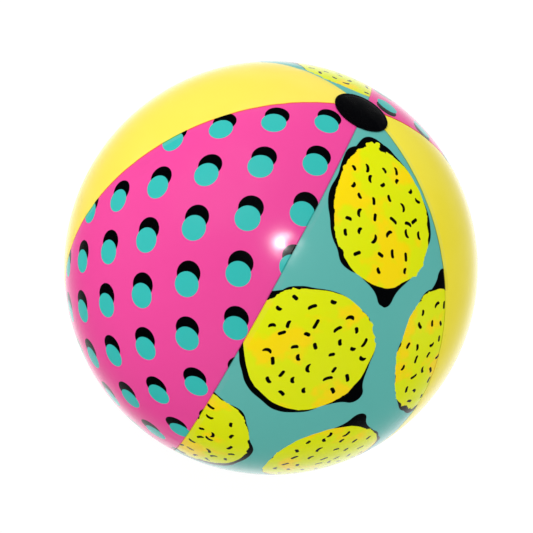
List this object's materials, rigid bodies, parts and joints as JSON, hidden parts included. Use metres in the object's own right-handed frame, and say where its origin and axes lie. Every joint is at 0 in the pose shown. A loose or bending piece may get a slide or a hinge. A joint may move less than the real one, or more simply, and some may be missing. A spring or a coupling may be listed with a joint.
{
  "type": "inflatable beach ball",
  "caption": "Inflated round vinyl beach ball of lapped gores with a round cap on each pole and a push-in air valve with a tethered plug.",
  "frame": {"origin": "centre of the inflated ball", "axes": "+Z from the centre through the upper cap, where the gores meet; +X through the middle of the plain gore that carries the valve; the lapped seam between the front pink and teal gores faces -Y"},
  "size_m": [0.3982, 0.4, 0.4016],
  "materials": {
    "pink_print_film": "glossy vinyl film, pink with a staggered print of teal spots on black shadows",
    "teal_print_film": "glossy vinyl film, teal with a brush-drawn print of large yellow fruit",
    "yellow_film": "glossy plain yellow vinyl film",
    "black_film": "high-gloss black vinyl",
    "valve_vinyl": "soft translucent white moulded vinyl"
  },
  "bodies": {
    "ball": {"gore_yellow_right": "yellow_film", "gore_yellow_left": "yellow_film", "gore_pink_back": "pink_print_film", "gore_pink_front": "pink_print_film", "gore_teal_back": "teal_print_film", "gore_teal_front": "teal_print_film", "cap_upper": "black_film", "cap_lower": "black_film", "valve_flange": "valve_vinyl", "valve_skirt": "valve_vinyl"},
    "stem": {"valve_neck": "valve_vinyl", "plug_strap": "valve_vinyl"},
    "plug": {"valve_plug": "valve_vinyl"},
    "flap": {"check_flap": "valve_vinyl"}
  },
  "joints": [
    {"name": "stem_slide", "type": "slide", "parent": "ball", "child": "stem", "axis": [0.7071, 0, -0.7071], "range_m": [0, 0.016], "deforming": ["valve_skirt"]},
    {"name": "plug_hinge", "type": "hinge", "parent": "stem", "child": "plug", "pos_m": [0.13711, 0, -0.14701], "axis": [0, 1, 0], "range_deg": [0, 150], "deforming": ["plug_strap"]},
    {"name": "flap_hinge", "type": "hinge", "parent": "stem", "child": "flap", "pos_m": [0.12919, 0, -0.13541], "axis": [0, -1, 0], "range_deg": [0, 40], "stiffness_Nm_per_rad": 0.0001}
  ]
}
